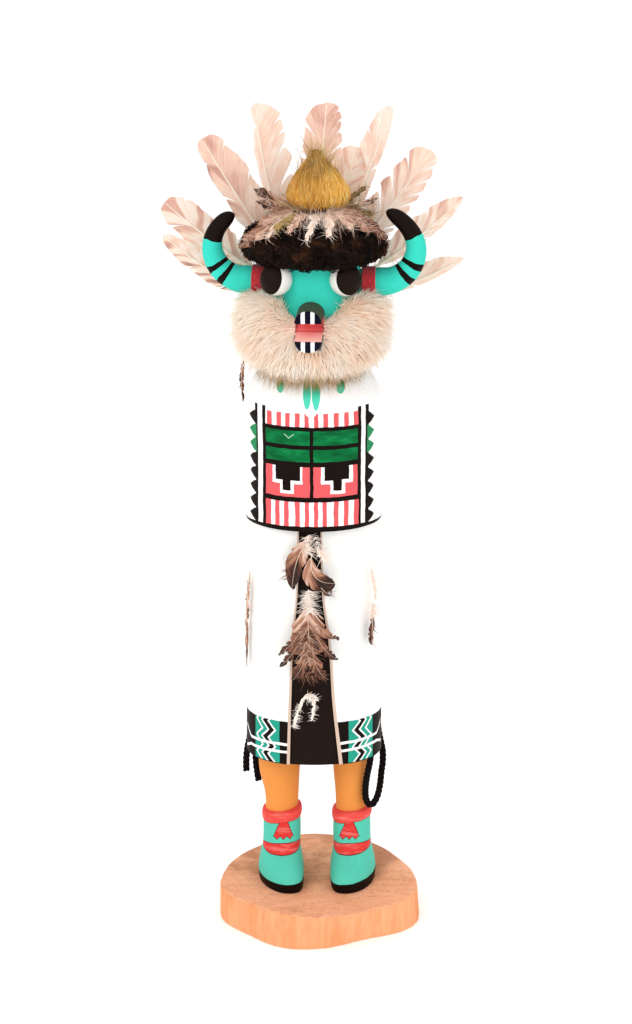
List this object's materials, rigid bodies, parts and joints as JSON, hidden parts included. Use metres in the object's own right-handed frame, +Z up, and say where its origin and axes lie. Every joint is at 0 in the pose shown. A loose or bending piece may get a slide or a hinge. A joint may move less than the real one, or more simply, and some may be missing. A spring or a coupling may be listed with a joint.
{
  "type": "kachina doll",
  "caption": "A carved and painted wooden kachina doll, robed and horned, with a feather fan, a fur collar and a wool cap, standing on a slice of root; it is set on a shelf to be looked at.",
  "frame": {"origin": "the middle of the base's flat underside", "axes": "+Z runs up the doll, the doll faces -Y, +X is on the right of someone who faces it"},
  "size_m": [0.1515, 0.1041, 0.4215],
  "materials": {
    "root_wood": "sawn and sanded cottonwood root, bare, with a little dirt on top",
    "painted_wood": "carved cottonwood under matt water paint: white, turquoise, black, red, green and orange",
    "red_yarn": "red yarn wound side by side",
    "black_wool": "matt black-brown wool, curly on the head and spun as yarn",
    "pale_fur": "cream rabbit fur",
    "yellow_down": "dyed yellow down",
    "small_feathers": "small grey-brown body feathers",
    "pale_feathers": "pale barred flight feathers with a satin sheen"
  },
  "bodies": {
    "root": {"base": "root_wood", "figure": "painted_wood", "snout": "painted_wood", "eye_left": "painted_wood", "eye_right": "painted_wood", "horn_left": "painted_wood", "horn_right": "painted_wood", "horn_wrap_left": "red_yarn", "horn_wrap_right": "red_yarn", "hair": "black_wool", "fur_ruff": "pale_fur", "crest_tuft": "yellow_down", "crest_collar": "small_feathers", "fan_feather_1": "pale_feathers", "fan_feather_2": "pale_feathers", "fan_feather_3": "pale_feathers", "fan_feather_4": "pale_feathers", "fan_feather_5": "pale_feathers", "fan_feather_6": "pale_feathers", "fan_feather_7": "pale_feathers", "fan_feather_8": "pale_feathers", "fan_feather_9": "pale_feathers", "fan_feather_10": "pale_feathers", "shoulder_feather": "small_feathers", "robe_feather_upper": "small_feathers", "robe_feather_lower": "small_feathers", "robe_down": "small_feathers", "side_feather_right": "small_feathers", "side_feather_left": "small_feathers", "yarn_loop_right": "black_wool", "yarn_end_outer": "black_wool", "yarn_end_inner": "black_wool"}
  },
  "joints": []
}
